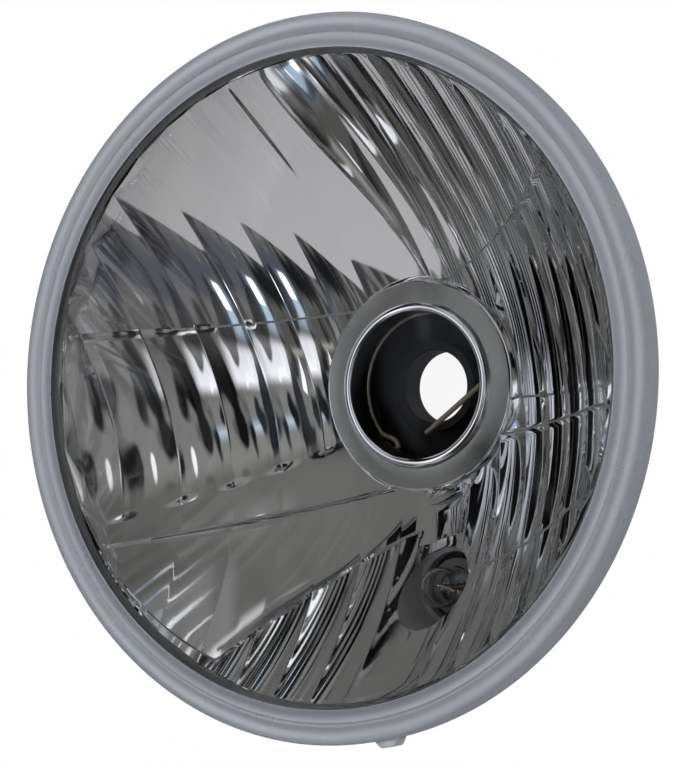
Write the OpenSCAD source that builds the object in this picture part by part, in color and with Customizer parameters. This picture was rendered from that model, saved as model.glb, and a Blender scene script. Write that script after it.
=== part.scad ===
// Headlight insert for a motorcycle: a clear glass front bonded to a fluted
// reflector, with a bulb seat, wire clip and rubber boot behind the neck and
// a small position lamp in the lower half.
// Lamp axis along Y, light leaves towards -Y, +Z is up. The origin is the
// centre of the glass rim. All sizes are in millimetres.

/* [Glass] */
// Radius of the glass rim
rim_r = 89; // [85:0.5:95]
// Thickness of the glass rim along the lamp axis
rim_t = 6.2; // [5:0.1:8]
// Rounding of the rim's two outer edges
rim_edge_r = 0.8; // [0.4:0.1:1.5]
// Width of the rim outside the dome
rim_w = 9.4; // [8:0.1:11]
// How far the dome stands forward of its edge
dome_rise = 14; // [10:0.5:20]
// Thickness of the dome
dome_t = 3; // [2:0.1:4]
// Height of the shoulder between dome edge and rim front
shoulder_h = 1.4; // [0.8:0.1:2.5]
// Distance of the fine groove from the rim's edge
groove_in = 5; // [3:0.5:7]
// Depth of that groove
groove_h = 0.3; // [0.1:0.1:0.5]
// Width of the locating lug under the rim
lug_w = 5.5; // [4:0.5:10]
// How far the locating lug stands proud of the rim
lug_h = 1.8; // [1:0.1:3]

/* [Reflector bowl] */
// Depth of the bowl's vertex behind the rim's centre plane
vertex_y = 54.4; // [52:0.2:57]
// Depth of the bowl's mouth behind the lip's front edge
mouth_in = 0.46; // [0.3:0.02:1]
// Wall thickness of the bowl behind the flutes
bowl_t = 3; // [2.4:0.1:4]
// Thickness of the bonding flange behind the glass
flange_t = 2; // [1.5:0.1:3]
// How far the bonding flange stays inside the rim's edge
flange_in = 2; // [1:0.5:4]
// Thickness of the lip that stands inside the glass
lip_t = 1.3; // [1:0.1:1.6]
// Depth of the lip below the rim's front
lip_drop = 2.3; // [2:0.1:3]
// Thickness of the bonding bead
bead_t = 0.8; // [0.4:0.1:1.5]

/* [Flutes] */
// Width of one flute
flute_w = 10; // [8:0.5:12]
// Half width of the centre column
centre_half_w = 10; // [8:0.5:12]
// Depth of the flutes above the upper step
flute_top = 0.55; // [0.2:0.05:1]
// Depth of the flutes in the middle band
flute_mid = 0.5; // [0.2:0.05:1]
// Depth of the flutes in the lower outer fields
flute_low = 0.7; // [0.2:0.05:1]
// Depth of the shallow flutes in the lower left field
flute_faint = 0.12; // [0.05:0.01:0.4]
// Height of the ledge where one field meets the next
ledge = 0.4; // [0.2:0.05:0.8]

/* [Step lines] */
// Height of the upper step line, on the left of the lamp axis
top_left_z = 22; // [18:0.5:26]
// Height of the upper step line, on the right
top_right_z = 24; // [20:0.5:28]
// Distance from the lamp axis at which that line starts to rise
top_rise_x = 13; // [8:1:20]
// Height of the middle step line
mid_z = -10; // [-13:0.5:-8]
// Distance from the lamp axis at which that line starts to fall
mid_fall_x = 27; // [20:1:34]
// Height of the lower step line, on the left
low_left_z = -24; // [-27:0.5:-20]
// Height of the lower step line, on the right
low_right_z = -16; // [-19:0.5:-15]
// Height of the slanted step line where it starts, on the left
slant_z = -38; // [-42:0.5:-34]
// Distance from the lamp axis at which it starts
slant_x = 8; // [4:1:12]
// Radius to which the slanted line bends down
slant_bend_r = 57.5; // [50:0.5:70]
// Height of the lowest step line, on the right
foot_z = -52; // [-56:0.5:-48]
// Radius to which that line bends up
foot_bend_r = 178; // [140:1:220]

/* [Bulb neck] */
// Radius of the main bulb hole
bulb_hole_r = 19; // [18:0.25:20]
// Wall of the bright collar round the bulb hole
collar_t = 2.3; // [1.8:0.1:3]
// How far the collar stands in front of the bowl's vertex
collar_h = 9.1; // [7.6:0.1:11]
// Width of the raised base round the collar
base_w = 5.9; // [4:0.1:8]
// How far the raised base stands off the bowl
base_h = 0.8; // [0.5:0.1:1.5]
// Length of the neck behind the bowl's vertex
neck_l = 2.8; // [2:0.1:5]
// Depth of the recess in the neck's rear
recess_d = 5.1; // [4.6:0.1:6]
// Width of that recess outside the bulb hole
recess_w = 9.4; // [8.5:0.1:10]
// Wall of the neck round the recess
neck_t = 2.6; // [2:0.1:3.5]

/* [Seat ring and clip] */
// Thickness of the steel seat ring
ring_t = 1.2; // [0.8:0.1:1.5]
// Width of a locating notch in the seat ring
notch_w = 3.6; // [3:0.1:5]
// Depth of a locating notch
notch_d = 2.8; // [2:0.1:3.5]
// Wire diameter of the bulb clip
wire_d = 1.4; // [1:0.1:1.8]
// How far the clip's round side lies outside the bulb hole
clip_out = 0.4; // [0.1:0.1:1]
// How far the clip's hinge lies outside the bulb hole
hinge_out = 3.9; // [3.5:0.1:4.3]
// Sheet thickness of the bracket and the catch
sheet_t = 0.8; // [0.6:0.1:1]
// Shank radius of the rivets
rivet_r = 0.8; // [0.6:0.1:1]
// Head radius of the rivets
rivet_head_r = 1.5; // [1.2:0.1:1.8]

/* [Rubber boot] */
// Wall thickness of the boot
boot_t = 2.2; // [1.6:0.1:3]
// Radius of the hole that grips the bulb's base
boot_hole_r = 9.4; // [8:0.1:11]
// Length of the sleeve round that hole
sleeve_l = 9; // [6:0.5:14]
// How far the boot stands behind the neck
boot_l = 7.7; // [7:0.1:13]
// Width of the boot's rear face round the hole
boot_face_w = 6; // [4:0.5:8]
// Length of neck that the boot covers
boot_grip = 6; // [4:0.5:6.5]

/* [Position lamp] */
// Sideways place of the position lamp
park_x = 3.5; // [2:0.5:5]
// Height of the position lamp, below the lamp axis
park_z = -53.5; // [-55:0.5:-52]
// Radius of the position lamp's hole
park_r = 9; // [8:0.1:10]
// Width of the bright edge round that hole
park_edge_w = 1.2; // [0.8:0.1:2]
// Wall of the tube behind that hole
park_wall = 2.4; // [2:0.1:3]
// Length of the tube behind the bowl
park_l = 18.3; // [16:0.1:22]
// Radius of the glass bulb
bulb_r = 5; // [4.5:0.1:5.5]
// Overall length of the glass bulb
bulb_l = 26.5; // [24:0.5:28]
// How far the bulb's tip stands in front of the tube's rear face
bulb_reach = 20; // [17:0.5:21]
// Thickness of the bulb's glass
bulb_wall = 0.7; // [0.5:0.05:1]
// Thickness of the bulb's flat base
wedge_t = 2.5; // [2:0.1:3]

/* [Fits] */
// Gap between parts that plug together
fit_gap = 0.15; // [0.05:0.05:0.3]
// Gap left for a bead, a skin or a spring
seat_gap = 0.1; // [0.05:0.05:0.2]

/* [Hidden] */
$fn = 96;

rim_front_y = -rim_t / 2;
rim_rear_y = rim_t / 2;
dome_r = rim_r - rim_w;
dome_edge_y = rim_front_y - shoulder_h;
dome_sphere_r = (dome_r * dome_r + dome_rise * dome_rise) / (2 * dome_rise);
dome_centre_y = dome_edge_y - dome_rise + dome_sphere_r;
groove_r = rim_r - groove_in;
lip_y = rim_front_y + lip_drop;
lip_r = dome_r;
skirt_r = lip_r + bead_t;
flange_y = rim_rear_y + bead_t;
flange_r = rim_r - flange_in;
mouth_r = lip_r - lip_t;
mouth_y = lip_y + mouth_in;
// Focal length that gives the bowl this mouth and this depth
focal = mouth_r * mouth_r / (4 * (vertex_y - mouth_y));

// Small steps that break sharp edges, and the overshoot of a cut
edge = 0.5;
over = 1;

collar_r = bulb_hole_r + collar_t;
collar_y = vertex_y - collar_h;
base_r = collar_r + base_w;
neck_end_y = vertex_y + neck_l;
seat_y = neck_end_y - recess_d;
recess_r = bulb_hole_r + recess_w;
neck_r = recess_r + neck_t;

ring_rear_y = seat_y + ring_t;
ring_r = recess_r - fit_gap;
notch_angles = [90, 210, 330];
rivet_pcr = recess_r - 2.2;
rivet_deep = 3;
head_h = 0.85;
seat_rivet_angles = [50, 150, 270];
hinge_angle = 10;
catch_angle = 188;
clip_rivet_angles = [hinge_angle, catch_angle];
clip_r = bulb_hole_r + clip_out;
hinge_r = bulb_hole_r + hinge_out;
hinge_half = 2.8;
wire_y = ring_rear_y + wire_d / 2 + seat_gap;
wire_sides = 10;
bracket_w = 4;
catch_w = 6;
hook_w = 1.4;

boot_end_y = neck_end_y + boot_l;
boot_face_r = boot_hole_r + boot_face_w;
boot_step_r = neck_r - 5.5;
boot_bead = 0.9;
tab_w = 11;
tab_l = 10;

park_edge_r = park_r + park_edge_w;
park_tube_r = park_edge_r + park_wall;
park_step = 7;
scoop_r = 16;
scoop_deep = 1.6;
scoop_x = 1.5;
scoop_mid_z = -36;
scoop_low = 6;
scoop_high = 4;
seal_l = 4;
seal_face_t = 1.6;
seal_w = 1.8;
holder_in = 6.5;
holder_l = 12;
holder_turn = 27;
grip_w = 5;
wedge_l = 9.5;
wedge_w = 9.2;
contact_x = 2.6;
contact_w = 3.2;
contact_t = 0.6;
blade_l = 7;
lead_x = 1.9;
lead_r = 0.25;
coil_r = 0.35;
filament_in = 8;

// Bowl depth at a distance from the lamp axis
function bowl_y(r) = vertex_y - r * r / (4 * focal);
// Extra depth that gives the bowl's back the same wall everywhere
function wall_y(r) = bowl_t * sqrt(1 + pow(r / (2 * focal), 2));

park_end_y = bowl_y(norm([park_x, park_z])) + park_l;
park_step_y = park_end_y - park_step;
bulb_tip_y = park_end_y - bulb_reach;
bulb_base_y = bulb_tip_y + bulb_l;
bulb_shoulder_y = bulb_base_y - wedge_l;
filament_y = bulb_tip_y + filament_in;
holder_r = park_r - seal_w;
holder_front_y = park_end_y - holder_in;
holder_flange_y = park_end_y + seal_face_t;
holder_end_y = holder_flange_y + holder_l;

// Turns a profile of [radius, depth] points about the lamp axis
module turned(points) {
    rotate([-90, 0, 0])
        rotate_extrude()
            polygon([for (p = points) [p[0], p[1]]]);
}

// Round bar along the lamp axis, from one depth to another
module bar_y(r, from_y, to_y) {
    translate([0, from_y, 0])
        rotate([-90, 0, 0])
            cylinder(r = r, h = to_y - from_y);
}

module ball(r, y) {
    translate([0, y, 0])
        rotate([-90, 0, 0])
            sphere(r = r, $fn = 180);
}

// The reflecting surface is a deep bowl split by step lines into five fields,
// one above the other, each cut into upright flutes. A step line is a height
// that depends on the place across the bowl.
function step_top(x) = x < 0 ? top_left_z - 0.1 * x
                             : top_right_z + 0.2 * max(0, x - top_rise_x);
function step_mid(x) = mid_z - 0.22 * max(0, abs(x) - mid_fall_x);
function step_low(x) = x < 0 ? low_left_z + 0.03 * x : low_right_z - 0.1 * x;
function bend(u, r) = u * u / (2 * r);
function step_slant(x) =
    x < 0 ? slant_z + 0.25 * (x + slant_x) - bend(x + slant_x, slant_bend_r)
          : foot_z + bend(x, foot_bend_r);
step_count = 4;
field_rows = [4, 4, 3, 6, 6];
flute_parts = 4;
mouth_steps = 3;
mouth_rest = 2;
edge_gap = 0.2;

function mouth_h(x) = sqrt(max(0, mouth_r * mouth_r - x * x));
function raw_step(k, x) = k == 1 ? step_slant(x) : k == 2 ? step_low(x)
                        : k == 3 ? step_mid(x) : step_top(x);
// Step lines end at the mouth, so they are kept apart there
function field_edge(k, x) =
    k <= 0 ? -mouth_h(x) :
    k > step_count ? mouth_h(x) :
    max(-mouth_h(x) * (1 - 0.04 * k),
        min(mouth_h(x) * (1 - 0.04 * (step_count + 1 - k)), raw_step(k, x)));

// Depth of the flutes in one field, and of the ledge that the field sits on
function field_flute(f, x) =
    f == 0 ? flute_low :
    f <= 2 ? (x < 0 ? flute_faint : flute_mid) :
    f == 3 ? flute_mid : flute_top;
function field_ledge(f) = f % 2 == 0 ? ledge : 0;

// Place across one flute, from -1 at one edge to 1 at the other
function flute_u(x) =
    abs(x) <= centre_half_w ? x / centre_half_w :
    2 * ((abs(x) - centre_half_w) / flute_w
         - floor((abs(x) - centre_half_w) / flute_w + 0.0001)) - 1;
function fluted_y(x, z, f) =
    bowl_y(norm([x, z])) + field_ledge(f)
    + field_flute(f, x) * max(0, 1 - pow(flute_u(x), 2));

// Upright grid lines: every flute is split into equal parts
flute_count = floor((mouth_r - mouth_rest - centre_half_w) / flute_w);
last_edge_x = centre_half_w + flute_count * flute_w;
right_lines = [
    for (k = [1:2 * flute_parts]) if (k > flute_parts) (k / flute_parts - 1) * centre_half_w,
    for (c = [0:flute_count - 1], k = [1:flute_parts])
        centre_half_w + (c + k / flute_parts) * flute_w,
    for (k = [1:mouth_steps]) last_edge_x + k * (mouth_r - last_edge_x) / (mouth_steps + 1)
];
line_count = len(right_lines);
grid_x = [for (k = [1:line_count]) -right_lines[line_count - k], 0,
          for (x = right_lines) x];
// Heights of one grid line's points, each with the field it lies in
function line_points(x) = [
    for (f = [0:step_count])
        let (low = field_edge(f, x), high = field_edge(f + 1, x),
             gap = min(edge_gap, 0.2 * (high - low)),
             from = f == 0 ? low : low + gap,
             to = f == step_count ? high : high - gap)
        for (k = [0:field_rows[f]])
            [x, from + (to - from) * k / field_rows[f], f]
];

// Solid that fills the bowl, from the fluted surface to a front plane
module fluted_core(front_y) {
    lines = [for (x = grid_x) line_points(x)];
    nx = len(lines);
    nz = len(lines[0]);
    left_pole = nx * nz;
    right_pole = left_pole + 1;
    back = [for (l = lines, p = l) [p[0], fluted_y(p[0], p[1], p[2]), p[1]]];
    poles = [for (s = [-1, 1]) [s * mouth_r, bowl_y(mouth_r), 0]];
    rim = concat([left_pole], [for (i = [0:nx - 1]) i * nz + nz - 1],
                 [right_pole], [for (i = [nx - 1:-1:0]) i * nz]);
    body = concat(back, poles);
    first = len(body);
    n = len(rim);
    front = [for (k = rim) [body[k][0], front_y, body[k][2]]];
    polyhedron(
        points = concat(body, front),
        faces = concat(
            [for (i = [0:nx - 2], j = [0:nz - 2])
                [i * nz + j, (i + 1) * nz + j, (i + 1) * nz + j + 1]],
            [for (i = [0:nx - 2], j = [0:nz - 2])
                [i * nz + j, (i + 1) * nz + j + 1, i * nz + j + 1]],
            [for (j = [0:nz - 2]) [left_pole, j, j + 1]],
            [for (j = [0:nz - 2]) [(nx - 1) * nz + j, right_pole, (nx - 1) * nz + j + 1]],
            [for (k = [0:n - 1])
                [first + (k + 1) % n, first + k, rim[k], rim[(k + 1) % n]]],
            [[for (k = [0:n - 1]) first + k]]));
}

// Outer form of the bowl with its flange and lip. Its wall is measured from
// the deepest flute.
bowl_rings = 12;
deepest = 1;
module bowl_blank() {
    turned(concat(
        [[0, lip_y], [lip_r, lip_y], [lip_r, flange_y], [flange_r, flange_y],
         [flange_r, flange_y + flange_t], [lip_r + edge, flange_y + flange_t]],
        [for (k = [0:bowl_rings])
            let (r = lip_r * (1 - k / bowl_rings))
            [r, bowl_y(r) + wall_y(r) + deepest]]));
}

// Everything that the neck keeps of solid plastic before its holes are cut
module neck_blank() {
    foot_y = bowl_y(base_r) - base_h;
    turned([[bulb_hole_r - over, collar_y + edge], [bulb_hole_r + edge, collar_y],
            [collar_r - edge, collar_y], [collar_r, collar_y + edge],
            [collar_r + edge / 2, foot_y - edge / 2], [base_r - edge, foot_y],
            [base_r, foot_y + edge], [base_r, bowl_y(base_r) + deepest],
            [neck_r, bowl_y(neck_r) + deepest], [neck_r, neck_end_y],
            [bulb_hole_r - over, neck_end_y]]);
}

// Places its children on the position lamp's axis
module at_park(turn = 0) {
    translate([park_x, 0, park_z])
        rotate([0, turn, 0])
            children();
}

// Capsule that lies in the bowl's surface between neck and position lamp
module scoop() {
    slope = -atan(-scoop_mid_z / (2 * focal));
    translate([scoop_x, bowl_y(-scoop_mid_z), scoop_mid_z])
        rotate([slope, 0, 0])
            translate([0, scoop_deep - scoop_r, 0]) {
                translate([0, 0, -scoop_low])
                    cylinder(r = scoop_r, h = scoop_low + scoop_high);
                translate([0, 0, scoop_high])
                    sphere(r = scoop_r);
            }
}

module rivet_holes(from_y, to_y) {
    seat_rivet_places() bar_y(rivet_r, from_y, to_y);
    clip_rivet_places() bar_y(rivet_r, from_y, to_y);
}

module reflector() color("gainsboro") {
    core_y = lip_y - over;
    park_root_y = bowl_y(norm([park_x, park_z]) + park_tube_r);
    difference() {
        union() {
            difference() {
                bowl_blank();
                fluted_core(core_y);
                scoop();
            }
            neck_blank();
            difference() {
                at_park() bar_y(park_tube_r, park_root_y, park_end_y);
                fluted_core(core_y);
            }
        }
        bar_y(bulb_hole_r, collar_y - 5 * over, neck_end_y + 3 * over);
        bar_y(recess_r, seat_y, neck_end_y + 3 * over);
        at_park() bar_y(park_edge_r, rim_rear_y, park_step_y);
        at_park() bar_y(park_r, rim_rear_y, park_end_y + over);
        rivet_holes(seat_y - rivet_deep, seat_y + over);
    }
}

module lens() color("lightcyan", 0.4) {
    difference() {
        union() {
            intersection() {
                ball(dome_sphere_r, dome_centre_y);
                bar_y(dome_r, dome_edge_y - dome_rise - over, rim_rear_y - over);
            }
            turned(concat(
                [[dome_r - over, dome_edge_y + edge], [dome_r, dome_edge_y],
                 [dome_r + 2 * edge, rim_front_y], [groove_r - groove_h, rim_front_y],
                 [groove_r, rim_front_y + groove_h], [groove_r + groove_h, rim_front_y]],
                rim_round(rim_front_y, 1), rim_round(rim_rear_y, -1),
                [[dome_r - over, rim_rear_y]]));
            translate([0, rim_rear_y - rim_edge_r, 0])
                rotate([90, 0, 0])
                    linear_extrude(rim_t - 2 * rim_edge_r)
                        polygon([for (p = [[-1, 0], [-1 + lug_taper, 1], [1 - lug_taper, 1], [1, 0]])
                                 [p[0] * (lug_w / 2 + over), -rim_r + over - p[1] * (lug_h + over)]]);
        }
        intersection() {
            ball(dome_sphere_r - dome_t, dome_centre_y);
            bar_y(skirt_r, dome_edge_y - dome_rise, rim_rear_y + over);
        }
    }
}

// Rounded corner of the rim's section, front (side 1) or rear (side -1)
round_steps = 4;
lug_taper = 0.53;
function rim_round(y, side) = [
    for (k = [0:round_steps])
        let (a = 90 * (side > 0 ? k : round_steps - k) / round_steps)
        [rim_r - rim_edge_r * (1 - sin(a)), y + side * rim_edge_r * (1 - cos(a))]
];

module lens_bead() color("dimgray") {
    front_y = lip_y + over;
    end_r = flange_r - over;
    turned([[lip_r, front_y], [skirt_r, front_y], [skirt_r, rim_rear_y],
            [end_r, rim_rear_y], [end_r, flange_y], [lip_r, flange_y]]);
}

module seat_rivet_places() {
    for (a = seat_rivet_angles)
        rotate([0, -a, 0])
            translate([rivet_pcr, 0, 0])
                children();
}

module clip_rivet_places() {
    for (a = clip_rivet_angles)
        rotate([0, -a, 0])
            translate([rivet_pcr, 0, 0])
                children();
}

module rivet(head_y) {
    bar_y(rivet_r, seat_y - rivet_deep + fit_gap, head_y + fit_gap);
    turned([[0, head_y], [rivet_head_r, head_y], [rivet_head_r - seat_gap, head_y + head_h / 2],
            [rivet_head_r / 2, head_y + head_h], [0, head_y + head_h]]);
}

module seat_rivets() color("silver") {
    seat_rivet_places() rivet(ring_rear_y);
}

module clip_rivets() color("silver") {
    clip_rivet_places() rivet(ring_rear_y + sheet_t);
}

module seat_ring() color("silver") {
    difference() {
        turned([[bulb_hole_r, seat_y], [ring_r, seat_y], [ring_r, ring_rear_y],
                [bulb_hole_r, ring_rear_y]]);
        for (a = notch_angles)
            rotate([0, -a, 0])
                translate([bulb_hole_r - over, seat_y - over, -notch_w / 2])
                    cube([notch_d + over, ring_t + 2 * over, notch_w]);
        rivet_holes(seat_y - over, ring_rear_y + over);
    }
}

// Route of the clip's wire, seen along the lamp axis: hooked end, straight leg,
// hinge length, then the round side and its curled end. Both ends are given in
// shares of the round side's radius.
leg_end = [[-0.325, -0.742], [-0.273, -0.655], [-0.206, -0.593]];
curl_end = [[-0.84, -0.485], [-0.753, -0.536], [-0.69, -0.608], [-0.68, -0.69]];
hinge_along = [-sin(hinge_angle), cos(hinge_angle)];
hinge_mid = hinge_r * [cos(hinge_angle), sin(hinge_angle)];
clip_path = concat(
    clip_r * leg_end,
    [hinge_mid - 1.55 * hinge_half * hinge_along - [2.4, 0],
     hinge_mid - 1.3 * hinge_half * hinge_along - [0.9, 0]],
    [for (s = [-1, 1]) hinge_mid + s * hinge_half * hinge_along],
    [hinge_mid + 1.6 * hinge_half * hinge_along - [0.5, 0.2]],
    [for (a = [36:6:204]) clip_r * [cos(a), sin(a)]],
    clip_r * curl_end);

function unit(v) = v / norm(v);
// Ring of points round one place of a flat wire route
function wire_ring(path, i, y) =
    let (n = len(path) - 1,
         before = unit(path[max(i, 1)] - path[max(i, 1) - 1]),
         after = unit(path[min(i + 1, n)] - path[min(i, n - 1)]),
         along = unit(before + after),
         side = [-along[1], along[0]] / max(0.5, along * after))
    [for (k = [0:wire_sides - 1])
        let (a = 360 * k / wire_sides, s = wire_d / 2 * cos(a))
        [path[i][0] + s * side[0], y + wire_d / 2 * sin(a), path[i][1] + s * side[1]]];

module flat_wire(path, y) {
    n = len(path);
    polyhedron(
        points = [for (i = [0:n - 1]) each wire_ring(path, i, y)],
        faces = concat(
            [[for (k = [0:wire_sides - 1]) k]],
            [for (i = [0:n - 2], k = [0:wire_sides - 1])
                let (m = (k + 1) % wire_sides)
                [i * wire_sides + k, (i + 1) * wire_sides + k,
                 (i + 1) * wire_sides + m, i * wire_sides + m]],
            [[for (k = [wire_sides - 1:-1:0]) (n - 1) * wire_sides + k]]));
}

module bulb_clip() color("goldenrod") {
    flat_wire(clip_path, wire_y);
}

// Folded strip that is riveted to the seat ring and reaches over the wire.
// Its section is [distance from the lamp axis, depth].
strip_low = ring_rear_y;
strip_top = wire_y + wire_d / 2 + seat_gap;
strip_r = recess_r - 4 * fit_gap;
wire_room = wire_d / 2 + 2 * seat_gap;

module strip(angle, width, section) {
    rotate([0, -angle, 0])
        difference() {
            translate([0, 0, -width / 2])
                linear_extrude(width)
                    polygon(section);
            translate([rivet_pcr, 0, 0])
                bar_y(rivet_r, strip_low - over, strip_low + sheet_t + over);
        }
}

module clip_bracket() color("silver") {
    out = hinge_r + wire_room;
    in = hinge_r - wire_room;
    strip(hinge_angle, bracket_w, [
        [strip_r, strip_low], [strip_r, strip_low + sheet_t],
        [out + sheet_t, strip_low + sheet_t], [out + sheet_t, strip_top + sheet_t],
        [in - sheet_t, strip_top + sheet_t], [in - sheet_t, strip_low + fit_gap],
        [in, strip_low + fit_gap], [in, strip_top], [out, strip_top], [out, strip_low]]);
}

module clip_catch() color("silver") {
    out = clip_r + wire_room;
    in = clip_r - hook_w;
    strip(catch_angle, catch_w, [
        [strip_r, strip_low], [strip_r, strip_low + sheet_t],
        [out + sheet_t, strip_low + sheet_t], [out + sheet_t, strip_top + sheet_t],
        [in, strip_top + sheet_t], [in - sheet_t / 2, strip_top + sheet_t * 0.7],
        [in, strip_top], [out, strip_top], [out, strip_low]]);
}

module rubber_boot() color("dimgray") {
    grip_y = neck_end_y - boot_grip;
    skirt = neck_r + seat_gap;
    outer = skirt + boot_t;
    sleeve_y = boot_end_y - sleeve_l;
    sleeve_r = boot_hole_r + boot_t;
    inner_y = boot_end_y - 1.25 * boot_t;
    turned([
        [skirt, grip_y], [outer + edge, grip_y], [outer + boot_bead, grip_y + boot_bead],
        [outer + edge, grip_y + 2 * boot_bead], [outer, grip_y + 3 * boot_bead],
        [outer, neck_end_y - edge], [outer - 2 * edge, neck_end_y + 2 * edge],
        [boot_step_r, neck_end_y + 2 * boot_t], [boot_step_r - boot_t, boot_end_y - boot_t],
        [boot_face_r + boot_t, boot_end_y - boot_t / 2], [boot_face_r, boot_end_y],
        [boot_hole_r + edge, boot_end_y], [boot_hole_r, boot_end_y - edge],
        [boot_hole_r, sleeve_y + edge], [boot_hole_r + edge, sleeve_y],
        [sleeve_r, sleeve_y], [sleeve_r + edge / 2, inner_y], [boot_face_r, inner_y],
        [boot_step_r - 1.5 * boot_t, neck_end_y + 1.6 * boot_t],
        [boot_step_r - boot_t / 2, neck_end_y + 1.1 * boot_t],
        [recess_r - boot_t / 2, neck_end_y], [skirt, neck_end_y]]);
    for (a = [0, 180])
        rotate([0, -a, 0])
            translate([skirt + edge, neck_end_y - edge, 0])
                rotate([90, 0, 0])
                    linear_extrude(boot_t)
                        pull_tab(boot_t + tab_l - tab_w / 2);
}

// Flat outline of a tab with a round end
module pull_tab(l) {
    translate([0, -tab_w / 2])
        square([l, tab_w]);
    translate([l, 0])
        circle(d = tab_w);
}

module position_seal() color("dimgray") {
    seal_r = park_r - fit_gap;
    face_r = park_tube_r - over;
    at_park()
        turned([[holder_r, park_end_y - seal_l], [seal_r, park_end_y - seal_l],
                [seal_r, park_end_y], [face_r, park_end_y],
                [face_r, holder_flange_y], [holder_r, holder_flange_y]]);
}

module position_holder() color("gray") {
    flange = 2;
    grip_h = 1.4;
    at_park(holder_turn) difference() {
        union() {
            bar_y(holder_r, holder_front_y, holder_flange_y + over);
            bar_y(park_r + over, holder_flange_y, holder_flange_y + flange);
            bar_y(holder_r + edge, holder_flange_y + over, holder_end_y);
            for (s = [-1, 1])
                translate([s * (holder_r + edge) - grip_h, holder_flange_y + over, -grip_w / 2])
                    cube([2 * grip_h, holder_l - 2 * over, grip_w]);
        }
        bulb_pocket();
        for (s = [-1, 1])
            contact_room(s);
    }
}

// Space for the bulb: its round shoulder and its flat base
module bulb_pocket() {
    bar_y(bulb_r + fit_gap, holder_front_y - over, bulb_shoulder_y + fit_gap);
    translate([-wedge_w / 2 - fit_gap, holder_front_y, -wedge_t / 2 - fit_gap])
        cube([wedge_w + 2 * fit_gap, bulb_base_y - holder_front_y + fit_gap,
              wedge_t + 2 * fit_gap]);
}

// Slot in the holder for one contact, open to the bulb's flat base
module contact_room(s) {
    deep = contact_t + fit_gap;
    translate([s * contact_x - contact_w / 2 - fit_gap, bulb_shoulder_y,
               s > 0 ? wedge_t / 2 + fit_gap : -wedge_t / 2 - fit_gap - deep])
        cube([contact_w + 2 * fit_gap, holder_end_y - bulb_shoulder_y + over, deep]);
}

module contact(s) {
    front_y = bulb_shoulder_y + 2 * fit_gap;
    end_y = holder_end_y + blade_l;
    at_park(holder_turn)
        translate([s * contact_x - contact_w / 2, 0,
                   s > 0 ? wedge_t / 2 + fit_gap + seat_gap / 2
                         : -wedge_t / 2 - fit_gap - contact_t - seat_gap / 2]) {
            translate([0, front_y, 0])
                cube([contact_w, end_y - over - front_y, contact_t]);
            translate([edge, end_y - 2 * over, 0])
                cube([contact_w - 2 * edge, 2 * over, contact_t]);
        }
}
module position_contact_left() color("goldenrod") contact(-1);
module position_contact_right() color("goldenrod") contact(1);

module position_bulb_glass() color("white", 0.4) {
    inner_r = bulb_r - bulb_wall;
    shoulder = bulb_shoulder_y - bulb_tip_y;
    at_park(holder_turn) translate([0, bulb_tip_y, 0]) difference() {
        union() {
            ball(bulb_r, bulb_r);
            bar_y(bulb_r, bulb_r, shoulder - over);
            turned([[0, shoulder - over], [bulb_r, shoulder - over],
                    [bulb_r - edge, shoulder], [0, shoulder]]);
            translate([-wedge_w / 2, shoulder - 2 * over, -wedge_t / 2])
                cube([wedge_w, wedge_l + 2 * over, wedge_t]);
        }
        ball(inner_r, bulb_r);
        bar_y(inner_r, bulb_r, shoulder - 3 * over);
        bulb_leads() bar_y(lead_r, shoulder - 4 * over, bulb_l + over);
    }
}

// Places its children on both lead wires of the small bulb
module bulb_leads() {
    for (s = [-1, 1])
        translate([s * lead_x, 0, 0])
            children();
}

module position_bulb_leads() color("silver") {
    at_park(holder_turn)
        bulb_leads() bar_y(lead_r, filament_y - 2 * coil_r, bulb_base_y);
}

module position_filament() color("darkgray") {
    at_park(holder_turn)
        translate([lead_r - lead_x, filament_y, 0])
            rotate([0, 90, 0])
                cylinder(r = coil_r, h = 2 * (lead_x - lead_r));
}

lens();
lens_bead();
reflector();
seat_ring();
seat_rivets();
bulb_clip();
clip_bracket();
clip_catch();
clip_rivets();
rubber_boot();
position_seal();
position_holder();
position_contact_left();
position_contact_right();
position_bulb_glass();
position_bulb_leads();
position_filament();
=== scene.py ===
"""Looks of the headlight insert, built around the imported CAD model.

Lamp axis along Y, light leaves towards -Y, +Z is up, and the origin is the
centre of the glass rim. Lengths are written in millimetres and turned into
metres where a mesh is made.
"""
import math

import bmesh
import bpy
from mathutils import Matrix, Vector


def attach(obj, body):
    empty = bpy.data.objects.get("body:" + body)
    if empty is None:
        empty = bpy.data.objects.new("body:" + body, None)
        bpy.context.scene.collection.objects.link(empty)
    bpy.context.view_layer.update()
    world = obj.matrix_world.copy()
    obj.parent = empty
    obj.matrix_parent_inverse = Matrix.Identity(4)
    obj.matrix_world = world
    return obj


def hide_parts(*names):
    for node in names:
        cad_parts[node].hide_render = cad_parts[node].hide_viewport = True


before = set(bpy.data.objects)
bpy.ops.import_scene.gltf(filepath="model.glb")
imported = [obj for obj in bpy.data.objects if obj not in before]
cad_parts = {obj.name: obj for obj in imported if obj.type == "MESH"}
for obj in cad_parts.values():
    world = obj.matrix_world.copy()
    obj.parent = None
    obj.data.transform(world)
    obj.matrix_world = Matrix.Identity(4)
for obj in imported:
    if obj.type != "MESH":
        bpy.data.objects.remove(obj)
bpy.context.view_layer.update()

MM = 0.001
# Points nearer to the axis than this, in millimetres, are one point on it, and points
# nearer to each other than this, in metres, are joined
ON_AXIS, JOIN_WITHIN = 1e-6, 1e-7

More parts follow.
